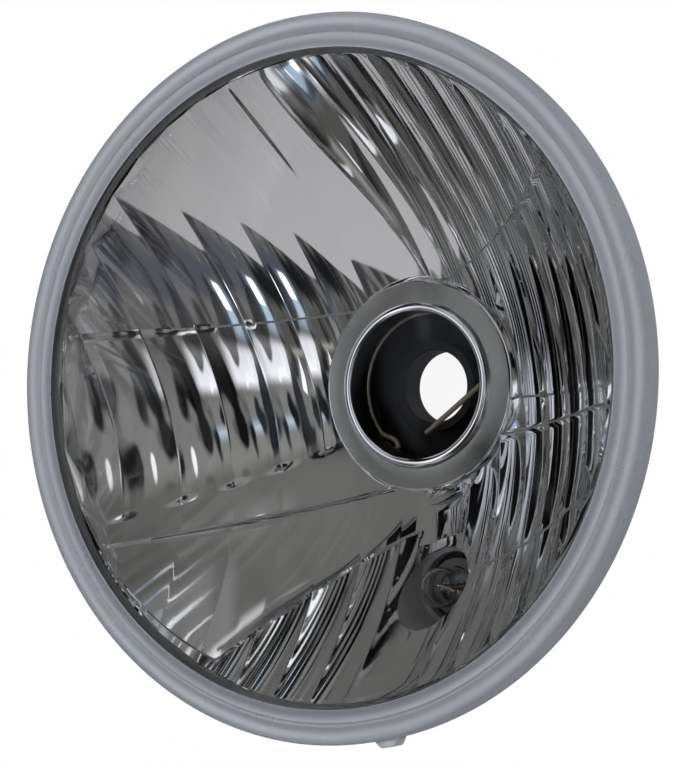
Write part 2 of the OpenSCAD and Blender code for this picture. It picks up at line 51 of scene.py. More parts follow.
# Glass
RIM_R, RIM_T, RIM_W, RIM_EDGE_R = 89.0, 6.2, 9.4, 0.8
RIM_FRONT, RIM_REAR = -RIM_T / 2, RIM_T / 2
DOME_R, DOME_RISE, DOME_T, SHOULDER_H = RIM_R - RIM_W, 14.0, 3.0, 1.4
DOME_EDGE = RIM_FRONT - SHOULDER_H
DOME_SPHERE_R = (DOME_R ** 2 + DOME_RISE ** 2) / (2 * DOME_RISE)
DOME_CENTRE = DOME_EDGE - DOME_RISE + DOME_SPHERE_R
GROOVE_IN, GROOVE_H = 5.0, 0.3
GROOVE_R = RIM_R - GROOVE_IN
LUG_W, LUG_H = 5.5, 1.8

# Bowl
BEAD_T, LIP_T, LIP_DROP, FLANGE_T, FLANGE_IN = 0.8, 1.3, 2.3, 2.0, 2.0
LIP_Y, LIP_R, FLANGE_R = RIM_FRONT + LIP_DROP, DOME_R, RIM_R - FLANGE_IN
VERTEX, MOUTH_R, MOUTH_IN, BOWL_T = 54.4, LIP_R - LIP_T, 0.46, 3.0
FOCAL = MOUTH_R ** 2 / (4 * (VERTEX - LIP_Y - MOUTH_IN))
SKIRT_R, FLANGE_Y = LIP_R + BEAD_T, RIM_REAR + BEAD_T
# The back stands off by more than the wall, to leave room for flutes and steps
BACK_SPARE = 1.0

# Flutes: widths, depths, height of the steps and rounding of the edges between flutes
FLUTE_W, CENTRE_HALF_W, FLUTES_A_SIDE = 10.0, 10.0, 7
FLUTE_TOP, FLUTE_MID, FLUTE_LOW, FLUTE_FAINT, LEDGE = 0.55, 0.5, 0.7, 0.12, 0.4
CUSP_R = 0.3

# Step lines: height, rise or fall for each mm to the side, and bend
SLANT_Z, SLANT_X, SLANT_RISE, SLANT_BEND = -38.0, 8.0, 0.25, 0.0087
FOOT_Z, FOOT_BEND = -52.0, 0.0028
LOW_LEFT_Z, LOW_LEFT_RISE, LOW_RIGHT_Z, LOW_RIGHT_FALL = -24.0, 0.03, -16.0, 0.1
MID_Z, MID_FALL_X, MID_FALL = -10.0, 27.0, 0.22
TOP_LEFT_Z, TOP_LEFT_FALL = 22.0, 0.1
TOP_RIGHT_Z, TOP_RISE_X, TOP_RIGHT_RISE = 24.0, 13.0, 0.2
# Least share of the mouth's half height that each field keeps near the rim
FIELD_SHARE = 0.04

# Fine grid of the bowl: parts of a flute, of the centre column and of each field
FLUTE_PARTS, CENTRE_PARTS, FIELD_PARTS = 12, 10, (34, 16, 12, 30, 40)
# Lines inside a flute stop at this distance, and all lines this much short of the mouth
LAST_LINE_R, MOUTH_GAP = 77.0, 0.2
# A step's wall takes this much of the field on each side, or this share of a narrow one
STEP_GAP, STEP_GAP_SHARE = 0.3, 0.2

# Collar, neck, seat and clip
BULB_HOLE_R, COLLAR_T, COLLAR_Y, BASE_R, BASE_H = 19.0, 2.3, 45.3, 27.2, 0.8
COLLAR_R = BULB_HOLE_R + COLLAR_T
# Rounding of collar and base, and how far the neck's solid reaches into its neighbours
COLLAR_ROUND, BASE_ROUND, NECK_SUNK = 0.6, 0.5, 1.0
NECK_R, NECK_END, SEAT_Y, RECESS_R = 31.0, 57.2, 52.1, 28.4
RING_T, WIRE_LIFT = 1.2, 0.8
WIRE_D, CLIP_R, WIRE_Y = 1.4, 19.4, SEAT_Y + RING_T + WIRE_LIFT
HINGE_R, HINGE_HALF, HINGE_ANGLE = 22.9, 2.8, math.radians(10)

# Scoop between neck and position lamp
SCOOP_R, SCOOP_DEEP, SCOOP_X, SCOOP_Z, SCOOP_LOW, SCOOP_HIGH = 16.0, 1.6, 1.5, -36.0, 6.0, 4.0

# Position lamp
PARK_X, PARK_Z, PARK_R, PARK_EDGE_R, PARK_WALL = 3.5, -53.5, 9.0, 10.2, 2.4
PARK_L, PARK_STEP_L = 18.3, 7.0
PARK_END = VERTEX - (PARK_X ** 2 + PARK_Z ** 2) / (4 * FOCAL) + PARK_L
PARK_STEP = PARK_END - PARK_STEP_L
PARK_TUBE_R = PARK_EDGE_R + PARK_WALL


def bowl_y(r):
    """Depth of the plain bowl at a distance from the lamp axis."""
    return VERTEX - r * r / (4 * FOCAL)


def wall_y(r):
    """Extra depth of the bowl's back."""
    return BOWL_T * math.sqrt(1 + (r / (2 * FOCAL)) ** 2) + BACK_SPARE


def mesh_object(name, verts, faces):
    """Object from points in millimetres."""
    mesh = bpy.data.meshes.new(name)
    mesh.from_pydata([Vector(v) * MM for v in verts], [], faces)
    mesh.validate()
    mesh.update()
    piece = bpy.data.objects.new(name, mesh)
    bpy.context.scene.collection.objects.link(piece)
    return piece


def fix_normals(piece):
    """Joins points that fall together and turns all faces outward."""
    bm = bmesh.new()
    bm.from_mesh(piece.data)
    bmesh.ops.remove_doubles(bm, verts=bm.verts, dist=JOIN_WITHIN)
    bmesh.ops.recalc_face_normals(bm, faces=bm.faces)
    bm.to_mesh(piece.data)
    bm.free()


def turned(name, profile, steps=192, centre=(0, 0)):
    """Closed ring or solid: a profile of (radius, depth) turned about a line along Y."""
    cx, cz = centre
    verts, rings = [], []
    for r, y in profile:
        if r < ON_AXIS:
            rings.append([len(verts)] * steps)
            verts.append((cx, y, cz))
            continue
        rings.append(range(len(verts), len(verts) + steps))
        verts += [(cx + r * math.cos(2 * math.pi * k / steps), y,
                   cz + r * math.sin(2 * math.pi * k / steps)) for k in range(steps)]
    faces = []
    for a, b in zip(rings, rings[1:] + rings[:1]):
        for k in range(steps):
            m = (k + 1) % steps
            face = list(dict.fromkeys((a[k], a[m], b[m], b[k])))
            if len(face) > 2:
                faces.append(face)
    piece = mesh_object(name, verts, faces)
    fix_normals(piece)
    return piece


def bar(name, r, y0, y1, centre=(0, 0), steps=96):
    """Round bar along Y."""
    return turned(name, [(0, y0), (r, y0), (r, y1), (0, y1)], steps, centre)


def cut(target, tool, operation="DIFFERENCE"):
    """Applies one boolean step and deletes the tool."""
    mod = target.modifiers.new("step", "BOOLEAN")
    mod.operation = operation
    mod.solver = "MANIFOLD"
    mod.object = tool
    bpy.context.view_layer.update()
    graph = bpy.context.evaluated_depsgraph_get()
    result = bpy.data.meshes.new_from_object(target.evaluated_get(graph))
    target.modifiers.remove(mod)
    target.data = result
    bpy.data.objects.remove(tool)


def shade(piece, angle=28):
    """Smooth shading that keeps edges sharper than the angle."""
    mesh = piece.data
    mesh.polygons.foreach_set("use_smooth", [True] * len(mesh.polygons))
    bm = bmesh.new()
    bm.from_mesh(mesh)
    limit = math.radians(angle)
    for edge in bm.edges:
        edge.smooth = len(edge.link_faces) == 2 and edge.calc_face_angle(0) < limit
    bm.to_mesh(mesh)
    bm.free()


# Camera, at the photograph's viewing angle
IMAGE_H, FOCAL_PX = 767, 2679.12
CAM_AZ, CAM_EL, CAM_ROLL = (math.radians(v) for v in (30.767, -9.331, -10.926))
CAM_DIST, CAM_DX, CAM_DZ = 650.0, -5.59, 1.617
# The view was measured from the rim's front plane, which lies ahead of the origin
VIEW_FROM = Vector((0, RIM_FRONT, 0))


def make_camera():
    """Camera from its direction, roll, distance and shift across the view."""
    back = Vector((math.sin(CAM_AZ) * math.cos(CAM_EL), -math.cos(CAM_AZ) * math.cos(CAM_EL),
                   math.sin(CAM_EL)))
    flat = Vector((math.cos(CAM_AZ), math.sin(CAM_AZ), 0))
    up = back.cross(flat)
    right = flat * math.cos(CAM_ROLL) + up * math.sin(CAM_ROLL)
    above = -flat * math.sin(CAM_ROLL) + up * math.cos(CAM_ROLL)
    place = back * CAM_DIST - right * CAM_DX - above * CAM_DZ + VIEW_FROM
    data = bpy.data.cameras.new("camera")
    data.sensor_width = 36
    data.lens = FOCAL_PX * data.sensor_width / IMAGE_H
    data.clip_start, data.clip_end = 0.01, 50
    cam = bpy.data.objects.new("camera", data)
    turn = Matrix((right, above, back)).transposed().to_4x4()
    cam.matrix_world = Matrix.Translation(place * MM) @ turn
    bpy.context.scene.collection.objects.link(cam)
    bpy.context.scene.camera = cam


make_camera()


# Materials
def new_material(name, **inputs):
    """Material whose shader gets the given constant inputs."""
    mat = bpy.data.materials.new(name)
    mat.use_nodes = True
    shader = mat.node_tree.nodes["Principled BSDF"]
    for key, value in inputs.items():
        shader.inputs[key.replace("_", " ")].default_value = value
    return mat, shader


# Values between which a noise texture mostly lies
NOISE_LOW, NOISE_HIGH = 0.3, 0.7


def noise(mat, scale, detail=3.0):
    """Noise that sticks to the piece."""
    nodes = mat.node_tree.nodes
    place = nodes.new("ShaderNodeTexCoord")
    tex = nodes.new("ShaderNodeTexNoise")
    tex.inputs["Scale"].default_value = scale
    tex.inputs["Detail"].default_value = detail
    mat.node_tree.links.new(place.outputs["Object"], tex.inputs["Vector"])
    return tex


def spread(mat, source, low, high):
    """A number that follows a texture between two limits."""
    node = mat.node_tree.nodes.new("ShaderNodeMapRange")
    node.inputs["From Min"].default_value = NOISE_LOW
    node.inputs["From Max"].default_value = NOISE_HIGH
    node.inputs["To Min"].default_value = low
    node.inputs["To Max"].default_value = high
    mat.node_tree.links.new(source, node.inputs["Value"])
    return node.outputs["Result"]


def tint(mat, source, first, second):
    """A colour that follows a texture between two colours."""
    node = mat.node_tree.nodes.new("ShaderNodeMix")
    node.data_type = "RGBA"
    node.inputs["A"].default_value = (*first, 1)
    node.inputs["B"].default_value = (*second, 1)
    mat.node_tree.links.new(source, node.inputs["Factor"])
    return node.outputs["Result"]


def rough(mat, shader, source, strength, distance):
    """Fine relief from a texture."""
    node = mat.node_tree.nodes.new("ShaderNodeBump")
    node.inputs["Strength"].default_value = strength
    node.inputs["Distance"].default_value = distance
    mat.node_tree.links.new(source, node.inputs["Height"])
    mat.node_tree.links.new(node.outputs["Normal"], shader.inputs["Normal"])


def surface(name, first, second, scale, low, high, bump=0.1, distance=0.0001, **inputs):
    """Material whose colour, gloss and relief all vary a little."""
    mat, shader = new_material(name, **inputs)
    tex = noise(mat, scale)
    link = mat.node_tree.links.new
    link(tint(mat, tex.outputs["Fac"], first, second), shader.inputs["Base Color"])
    link(spread(mat, tex.outputs["Fac"], low, high), shader.inputs["Roughness"])
    rough(mat, shader, tex.outputs["Fac"], bump, distance)
    return mat


MIRROR = surface("mirror", (0.86, 0.865, 0.875), (0.9, 0.905, 0.915), 40, 0.015, 0.05,
                 bump=0.12, distance=0.00006, Metallic=1.0)
GLASS = surface("glass", (0.93, 0.932, 0.938), (0.94, 0.942, 0.946), 30, 0.0, 0.015,
                bump=0.05, distance=0.00005, Transmission_Weight=1.0, IOR=1.5,
                Specular_Tint=(0.2, 0.21, 0.23, 1))


def painted_light_rings(mat, shader, first, second, period):
    """Fine rings about the lamp axis, as lighter and darker colour: painted highlight and shade
    bands.
    """
    nodes, link = mat.node_tree.nodes, mat.node_tree.links.new
    wave = nodes.new("ShaderNodeTexWave")
    wave.wave_type, wave.rings_direction = "RINGS", "Y"
    # At scale 1 the wave texture makes one ring in pi / 10
    wave.inputs["Scale"].default_value = 2 * math.pi / (20 * period)
    wave.inputs["Distortion"].default_value = 0.6
    place = nodes.new("ShaderNodeTexCoord")
    link(place.outputs["Object"], wave.inputs["Vector"])
    link(tint(mat, wave.outputs["Fac"], first, second), shader.inputs["Base Color"])


def rim_glass():
    """Thick glass edge, dull and bluish because light is caught in it."""
    mat, shader = new_material("rim_glass", Transmission_Weight=0.4, IOR=1.5)
    tex = noise(mat, 60)
    # Painted highlight and shade: lighter and darker rings across the rim's band
    painted_light_rings(mat, shader, (0.29, 0.31, 0.35), (0.46, 0.48, 0.52), 0.0034)
    mat.node_tree.links.new(spread(mat, tex.outputs["Fac"], 0.25, 0.38),
                            shader.inputs["Roughness"])
    rough(mat, shader, tex.outputs["Fac"], 0.12, 0.0001)
    return mat


RIM_GLASS = rim_glass()
BULB_GLASS = surface("bulb_glass", (0.97, 0.97, 0.97), (0.99, 0.99, 0.99), 300, 0.0, 0.02,
                     bump=0.05, distance=0.00005, Transmission_Weight=1.0, IOR=1.48)
BACK = surface("moulded_back", (0.07, 0.07, 0.072), (0.11, 0.11, 0.112), 600, 0.45, 0.65,
               bump=0.25, distance=0.0001)
FLANGE = surface("flange", (0.42, 0.46, 0.5), (0.5, 0.54, 0.58), 120, 0.35, 0.5)
BORE = surface("bore", (0.012, 0.012, 0.014), (0.022, 0.022, 0.026), 400, 0.35, 0.5,
               bump=0.15, distance=0.00008)
BEAD = surface("bead", (0.44, 0.48, 0.52), (0.52, 0.56, 0.6), 250, 0.4, 0.6)
RUBBER = surface("rubber", (0.012, 0.012, 0.014), (0.028, 0.028, 0.032), 700, 0.4, 0.62,
                 bump=0.2, distance=0.00008)
# Painted highlights: the lip's colour swings by noise between near black and white, as bright
# glints and dark bits along the mouth
LIP = surface("lip", (0.04, 0.04, 0.045), (0.95, 0.95, 0.97), 45, 0.15, 0.4)
# Painted shade: a darker, rougher copy of the mirror, so that the raised base's flat face shows a
# darker reflection
DULL_SHADED_MIRROR = surface("dull_shaded_mirror", (0.5, 0.5, 0.47), (0.62, 0.62, 0.59), 60, 0.22, 0.34,
               Metallic=1.0)
# Painted highlight: a near-white, rough finish that stands in for bright glints on the steps'
# walls and inside the position lamp's tube
HIGHLIGHT_EDGE = surface("painted_highlight_edge", (0.85, 0.85, 0.85), (1.0, 1.0, 1.0), 90, 0.5, 0.65, Metallic=0.2)
DARK_STEEL = surface("dark_steel", (0.03, 0.03, 0.032), (0.05, 0.05, 0.052), 400, 0.4, 0.55,
                     Metallic=0.6)
STEEL = surface("steel", (0.55, 0.55, 0.54), (0.68, 0.68, 0.66), 400, 0.22, 0.38,
                Metallic=1.0)
WIRE = surface("spring_wire", (0.8, 0.66, 0.5), (0.95, 0.82, 0.68), 500, 0.3, 0.45,
               Metallic=0.3)
HOLDER = surface("holder", (0.42, 0.42, 0.43), (0.54, 0.54, 0.55), 500, 0.4, 0.6)
BRASS = surface("brass", (0.8, 0.52, 0.16), (0.88, 0.62, 0.25), 300, 0.18, 0.3, Metallic=1.0)


# Fluted bowl, by the same rules as the CAD model with a finer grid
def step_slant(x):
    """Slanted, bent line on the left half and the foot's line on the right half."""
    if x < 0:
        along = x + SLANT_X
        return SLANT_Z + SLANT_RISE * along - SLANT_BEND * along ** 2
    return FOOT_Z + FOOT_BEND * x * x


def step_low(x):
    """Lower line, at a different height on each side."""
    return LOW_LEFT_Z + LOW_LEFT_RISE * x if x < 0 else LOW_RIGHT_Z - LOW_RIGHT_FALL * x


def step_mid(x):
    """Middle line, level near the neck and falling further out."""
    return MID_Z - MID_FALL * max(0.0, abs(x) - MID_FALL_X)


def step_top(x):
    """Upper line, which rises to both sides."""
    if x < 0:
        return TOP_LEFT_Z - TOP_LEFT_FALL * x
    return TOP_RIGHT_Z + TOP_RIGHT_RISE * max(0.0, x - TOP_RISE_X)


STEPS = (step_slant, step_low, step_mid, step_top)


def mouth_h(x):
    """Half height of the bowl's mouth at a distance to the side."""
    return math.sqrt(max(0.0, MOUTH_R ** 2 - x * x))


def field_edge(k, x):
    """Height of the lower edge of field k, which the fields' least share limits."""
    h = mouth_h(x)
    if k <= 0:
        return -h
    if k > len(STEPS):
        return h
    top = h * (1 - FIELD_SHARE * (len(STEPS) + 1 - k))
    return max(-h * (1 - FIELD_SHARE * k), min(top, STEPS[k - 1](x)))


def field_flute(f, x):
    """Depth of the flutes in field f, counted from the bottom."""
    if f == 0:
        return FLUTE_LOW
    if f <= 2:
        return FLUTE_FAINT if x < 0 else FLUTE_MID
    return FLUTE_MID if f == 3 else FLUTE_TOP


def flute_depth(x, deep):
    """Depth of a hollow flute, with its edges rounded off."""
    a = abs(x)
    half = CENTRE_HALF_W if a <= CENTRE_HALF_W else FLUTE_W / 2
    if a <= CENTRE_HALF_W:
        from_edge = CENTRE_HALF_W - a
    else:
        inside = (a - CENTRE_HALF_W) % FLUTE_W
        from_edge = min(inside, FLUTE_W - inside)
    u = 1 - from_edge / half
    slope = 2 * deep / half
    if from_edge < CUSP_R:
        at_cusp = deep * (1 - (1 - CUSP_R / half) ** 2)
        return at_cusp - slope * (CUSP_R ** 2 - from_edge ** 2) / (2 * CUSP_R)
    return deep * (1 - u * u)


def fluted_y(x, z, f):
    """Depth of the bowl in field f. Every second field stands back by a ledge."""
    return (bowl_y(math.hypot(x, z)) + (LEDGE if f % 2 == 0 else 0)
            + flute_depth(x, field_flute(f, x)))


def grid_lines():
    """Places of the grid's upright lines, closer at the edges between flutes."""
    edges = [CENTRE_HALF_W + FLUTE_W * k for k in range(FLUTES_A_SIDE)]
    right = [CENTRE_HALF_W * k / CENTRE_PARTS for k in range(1, CENTRE_PARTS)]
    for edge in edges:
        right += [edge - CUSP_R, edge - CUSP_R / 2, edge, edge + CUSP_R / 2, edge + CUSP_R]
        inner = [edge + FLUTE_W * k / FLUTE_PARTS for k in range(1, FLUTE_PARTS)]
        right += [r for r in inner if r < LAST_LINE_R]
    right = sorted(r for r in right if r < MOUTH_R - MOUTH_GAP)
    return [-r for r in reversed(right)] + [0.0] + right


def line_points(x):
    """Points (x, z, field) up one line, with a gap for the wall of each step."""
    points = []
    for f, parts in enumerate(FIELD_PARTS):
        low, high = field_edge(f, x), field_edge(f + 1, x)
        gap = min(STEP_GAP, STEP_GAP_SHARE * (high - low))
        start = low if f == 0 else low + gap
        stop = high if f == len(STEPS) else high - gap
        points += [(x, start + (stop - start) * k / parts, f) for k in range(parts + 1)]
    return points


def fluted_core(name, front):
    """Solid that fills the bowl forward to a plane, to be cut out of the blank."""
    lines = [line_points(x) for x in grid_lines()]
    nx, nz = len(lines), len(lines[0])
    verts = [(x, fluted_y(x, z, f), z) for line in lines for x, z, f in line]
    left = len(verts)
    verts += [(-MOUTH_R, bowl_y(MOUTH_R), 0), (MOUTH_R, bowl_y(MOUTH_R), 0)]
    faces = [(i * nz + j, (i + 1) * nz + j, (i + 1) * nz + j + 1, i * nz + j + 1)
             for i in range(nx - 1) for j in range(nz - 1)]
    faces += [(left, j, j + 1) for j in range(nz - 1)]
    faces += [((nx - 1) * nz + j, left + 1, (nx - 1) * nz + j + 1) for j in range(nz - 1)]
    rim = ([left] + [i * nz + nz - 1 for i in range(nx)] + [left + 1]
           + [i * nz for i in reversed(range(nx))])
    first, n = len(verts), len(rim)
    verts += [(verts[k][0], front, verts[k][2]) for k in rim]
    faces += [(first + (k + 1) % n, first + k, rim[k], rim[(k + 1) % n]) for k in range(n)]
    faces.append([first + k for k in range(n)])
    piece = mesh_object(name, verts, faces)
    fix_normals(piece)
    return piece


def make_scoop():
    """Capsule that hollows the bowl between neck and position lamp."""
    slope = -math.atan(-SCOOP_Z / (2 * FOCAL))
    rows, steps = 24, 96
    profile = [(0.0, -SCOOP_LOW), (SCOOP_R, -SCOOP_LOW)]
    profile += [(SCOOP_R * math.cos(a), SCOOP_HIGH + SCOOP_R * math.sin(a))
                for a in (math.pi / 2 * k / rows for k in range(rows + 1))]
    piece = turned("scoop", profile, steps)
    stand = Matrix.Rotation(math.radians(90), 4, "X")
    lean = Matrix.Rotation(slope, 4, "X")
    place = Matrix.Translation(Vector((SCOOP_X, bowl_y(-SCOOP_Z), SCOOP_Z)) * MM)
    sink = Matrix.Translation(Vector((0, SCOOP_DEEP - SCOOP_R, 0)) * MM)
    piece.data.transform(place @ lean @ sink @ stand)
    fix_normals(piece)
    return piece


def neck_profile():
    """Outline of collar, raised base and neck. The small offsets round its edges."""
    base_top = bowl_y(BASE_R) - BASE_H
    inside = BULB_HOLE_R - NECK_SUNK
    collar = [(inside, COLLAR_Y + 0.5), (BULB_HOLE_R + 0.2, COLLAR_Y + 0.12),
              (BULB_HOLE_R + COLLAR_ROUND, COLLAR_Y), (COLLAR_R - COLLAR_ROUND, COLLAR_Y),
              (COLLAR_R - COLLAR_ROUND / 4, COLLAR_Y + COLLAR_ROUND / 4),
              (COLLAR_R, COLLAR_Y + COLLAR_ROUND)]
    base = [(COLLAR_R + 0.3, base_top - 0.3), (BASE_R - BASE_ROUND, base_top),
            (BASE_R - 0.1, base_top + 0.15), (BASE_R, base_top + BASE_ROUND),
            (BASE_R, bowl_y(BASE_R) + NECK_SUNK)]
    return collar + base + [(NECK_R, bowl_y(NECK_R) + NECK_SUNK), (NECK_R, NECK_END),
                            (inside, NECK_END)]


# The reflector's materials and their places in its list
FINISHES = (MIRROR, BACK, FLANGE, BORE, LIP, DULL_SHADED_MIRROR, HIGHLIGHT_EDGE)
ON_MIRROR, ON_BACK, ON_FLANGE, ON_BORE, ON_LIP, ON_DULL_SHADED, ON_HIGHLIGHT_EDGE = range(len(FINISHES))
# How near a face lies to an edge, how straight a flat one faces forward, and how far
# from the plain bowl the mirror, the walls of the steps and the lamp's tube may lie
NEAR, FLAT, MIRROR_DEEP, LEDGE_DEEP, TUBE_DEEP = 0.1, -0.99, 2.6, 1.6, 1.2
# How much a step's wall leans more than the bowl, and how little it turns to the side
LEDGE_TILT, LEDGE_TURN = 0.3, 0.6


def finish_of(face):
    """Finish of one face of the reflector, by where it lies and faces."""
    x, y, z = face.center / MM
    r = math.hypot(x, z)
    deep = y - bowl_y(r)
    flat = face.normal.y < FLAT
    near_park = math.hypot(x - PARK_X, z - PARK_Z) < PARK_EDGE_R + 0.3
    in_tube = near_park and y < PARK_END - 0.2
    bowl_tilt = -z / math.hypot(2 * FOCAL, r)
    on_wall = abs(face.normal.z - bowl_tilt) > LEDGE_TILT and abs(face.normal.x) < LEDGE_TURN
    if r < BULB_HOLE_R + NEAR:
        return ON_BORE
    # The flat lip at the mouth, which carries the painted highlights
    if flat and MOUTH_R - NEAR < r < LIP_R:
        return ON_LIP
    # The raised base's flat face takes the darker copy of the mirror, as painted shade
    if flat and COLLAR_R < r < BASE_R and abs(y - bowl_y(BASE_R) + BASE_H) < BASE_ROUND:
        return ON_DULL_SHADED
    # The inside of the position lamp's tube and the steps' walls take the painted highlight
    # finish
    if in_tube and bowl_y(r) + TUBE_DEEP < y:
        return ON_HIGHLIGHT_EDGE
    if BASE_R + 0.2 < r < MOUTH_R - 1 and on_wall and abs(deep) < LEDGE_DEEP and not near_park:
        return ON_HIGHLIGHT_EDGE
    if r < LIP_R - NEAR / 2 and deep < MIRROR_DEEP or in_tube:
        return ON_MIRROR
    if r > LIP_R - NEAR and y < FLANGE_Y + NEAR:
        return ON_FLANGE
    return ON_BACK


def make_reflector():
    """One moulding of bowl, collar, neck, flange and the position lamp's tube."""
    rings, around = 40, 256
    front_face = FLANGE_Y + 0.02
    blank = [(0, LIP_Y), (LIP_R, LIP_Y), (LIP_R, front_face), (FLANGE_R, front_face),
             (FLANGE_R, FLANGE_Y + FLANGE_T), (LIP_R + 0.5, FLANGE_Y + FLANGE_T)]
    blank += [(r, bowl_y(r) + wall_y(r)) for r in
              (LIP_R * (1 - k / rings) for k in range(rings + 1))]
    body = turned("reflector_body", blank, around)
    cut(body, fluted_core("core", LIP_Y - 1))
    cut(body, make_scoop())
    cut(body, turned("neck", neck_profile(), around), "UNION")
    park = (PARK_X, PARK_Z)
    tube = bar("tube", PARK_TUBE_R, bowl_y(math.hypot(*park)) - 9, PARK_END, park)
    cut(tube, fluted_core("core", LIP_Y - 1))
    cut(body, tube, "UNION")
    # The cutters reach past the surfaces that they open
    cut(body, bar("hole", BULB_HOLE_R, COLLAR_Y - 5, NECK_END + 3, steps=around))
    cut(body, bar("recess", RECESS_R, SEAT_Y, NECK_END + 3, steps=around))
    cut(body, bar("park_edge", PARK_EDGE_R, RIM_REAR, PARK_STEP, park))
    cut(body, bar("park_hole", PARK_R, RIM_REAR, PARK_END + 1, park))
    body.data.materials.clear()
    for mat in FINISHES:
        body.data.materials.append(mat)
    for face in body.data.polygons:
        face.material_index = finish_of(face)
    shade(body, 30)
    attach(body, "root")
    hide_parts("reflector")


def make_lug():
    """Locating lug under the rim, with its lower corners cut off."""
    half, y0, y1 = LUG_W / 2, RIM_FRONT + RIM_EDGE_R, RIM_REAR - RIM_EDGE_R
    low, top = -RIM_R - LUG_H, 1 - RIM_R
    section = [(-half - 1, top), (-half + 0.6, low + 0.5), (-half + 1.3, low),
               (half - 1.3, low), (half - 0.6, low + 0.5), (half + 1, top)]
    n = len(section)
    lug = mesh_object("lug", [(x, y, z) for y in (y0, y1) for x, z in section],
                      [list(range(n)), [n + k for k in range(n)]]
                      + [(k, (k + 1) % n, n + (k + 1) % n, n + k) for k in range(n)])
    fix_normals(lug)
    return lug


def make_lens():
    """Glass front with dome, shoulder, grooved rim and lug."""
    arc_parts, rings = 6, 40
    arc = [(RIM_R - RIM_EDGE_R * (1 - math.sin(a)), RIM_EDGE_R * (1 - math.cos(a)))
           for a in (math.pi / 2 * k / arc_parts for k in range(arc_parts + 1))]
    outer = [DOME_R * k / rings for k in range(rings + 1)]
    dome = [(r, DOME_CENTRE - math.sqrt(DOME_SPHERE_R ** 2 - r * r)) for r in outer]
    inner_r = DOME_SPHERE_R - DOME_T
    inward = [SKIRT_R * (1 - k / rings) for k in range(rings + 1)]
    inner = [(r, DOME_CENTRE - math.sqrt(inner_r ** 2 - r * r)) for r in inward]
    shoulder = [(DOME_R + 0.1, DOME_EDGE + 0.1), (DOME_R + 0.5, RIM_FRONT - 0.5),
                (DOME_R + 0.8, RIM_FRONT - 0.15), (DOME_R + 1.2, RIM_FRONT),
                (GROOVE_R - 0.5, RIM_FRONT), (GROOVE_R - 0.15, RIM_FRONT + GROOVE_H),
                (GROOVE_R + 0.15, RIM_FRONT + GROOVE_H), (GROOVE_R + 0.5, RIM_FRONT)]
    rim = [(r, RIM_FRONT + y) for r, y in arc] + [(r, RIM_REAR - y) for r, y in reversed(arc)]
    skirt = [(SKIRT_R + 0.3, RIM_REAR), (SKIRT_R, RIM_REAR - 0.3)]
    piece = turned("glass_front", dome + shoulder + rim + skirt + inner, 256)
    cut(piece, make_lug(), "UNION")
    piece.data.materials.clear()
    piece.data.materials.append(GLASS)
    piece.data.materials.append(RIM_GLASS)
    for face in piece.data.polygons:
        x, y, z = face.center / MM
        at_rim = math.hypot(x, z) > SKIRT_R - 0.1 and y > DOME_EDGE + 0.3
        face.material_index = 1 if at_rim else 0
    shade(piece, 35)
    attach(piece, "root")
    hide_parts("lens")


def sweep(name, path, radius, sides=16):
    """Round tube along a list of points."""
    verts, faces = [], []
    n = len(path)
    points = [Vector(p) for p in path]
    side = None
    for i, p in enumerate(points):
        before = (p - points[i - 1]).normalized() if i else (points[1] - p).normalized()
        after = (points[i + 1] - p).normalized() if i < n - 1 else before
        along = (before + after).normalized()
        if side is None:
            side = along.orthogonal().normalized()
        side = (side - along * side.dot(along)).normalized()
        other = along.cross(side)
        for k in range(sides):
            a = 2 * math.pi * k / sides
            verts.append(p + radius * (math.cos(a) * side + math.sin(a) * other))
    for i in range(n - 1):
        for k in range(sides):
            m = (k + 1) % sides
            faces.append((i * sides + k, i * sides + m, (i + 1) * sides + m, (i + 1) * sides + k))
    faces.append(list(range(sides)))
    faces.append([(n - 1) * sides + k for k in range(sides)])
    piece = mesh_object(name, verts, faces)
    fix_normals(piece)
    return piece


def smooth_route(points, parts=6):
    """Catmull-Rom curve through a list of points."""
    pts = [Vector(p) for p in points]
    pts = [2 * pts[0] - pts[1]] + pts + [2 * pts[-1] - pts[-2]]
    route = []
    for a, b, c, d in zip(pts, pts[1:], pts[2:], pts[3:]):
        for k in range(parts):
            t = k / parts
            route.append(0.5 * (2 * b + (c - a) * t + (2 * a - 5 * b + 4 * c - d) * t * t
                                + (3 * b - a - 3 * c + d) * t ** 3))
    return route + [pts[-2]]


# Ends of the clip's wire, seen from the front: inner leg, end of the hinge's arm, catch
WIRE_LEG = ((-3.4, -11.2), (-2, -10.6), (20, -0.7), (20.9, -0.3), (22.3, 0.3))
WIRE_ARM = (21.3, 8.2)
WIRE_CATCH = ((-16.3, -9.4), (-14.6, -10.4), (-13.4, -11.8), (-13.2, -13.4))


def make_clip():
    """Wire with a leg across the hole, a hinge and a round side over the seat ring."""
    out = Vector((math.cos(HINGE_ANGLE), math.sin(HINGE_ANGLE)))
    along = Vector((-out[1], out[0]))
    hinge = [out * HINGE_R + along * s * HINGE_HALF for s in (-1, -0.9, 0.9, 1)]
    round_side = [(CLIP_R * math.cos(math.radians(a)), CLIP_R * math.sin(math.radians(a)))
                  for a in range(36, 205, 12)]
    flat = [*WIRE_LEG, *hinge, WIRE_ARM, *round_side, *WIRE_CATCH]
    route = smooth_route([(x, WIRE_Y, z) for x, z in flat])
    piece = sweep("clip_wire", route, WIRE_D / 2)
    piece.data.materials.append(WIRE)
    shade(piece, 50)
    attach(piece, "root")
    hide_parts("bulb_clip")


def dress(node, material):
    """A CAD node that keeps its shape and gets a finish."""
    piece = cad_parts[node]
    if not piece.material_slots:
        piece.data.materials.append(material)
    for slot in piece.material_slots:
        slot.material = material


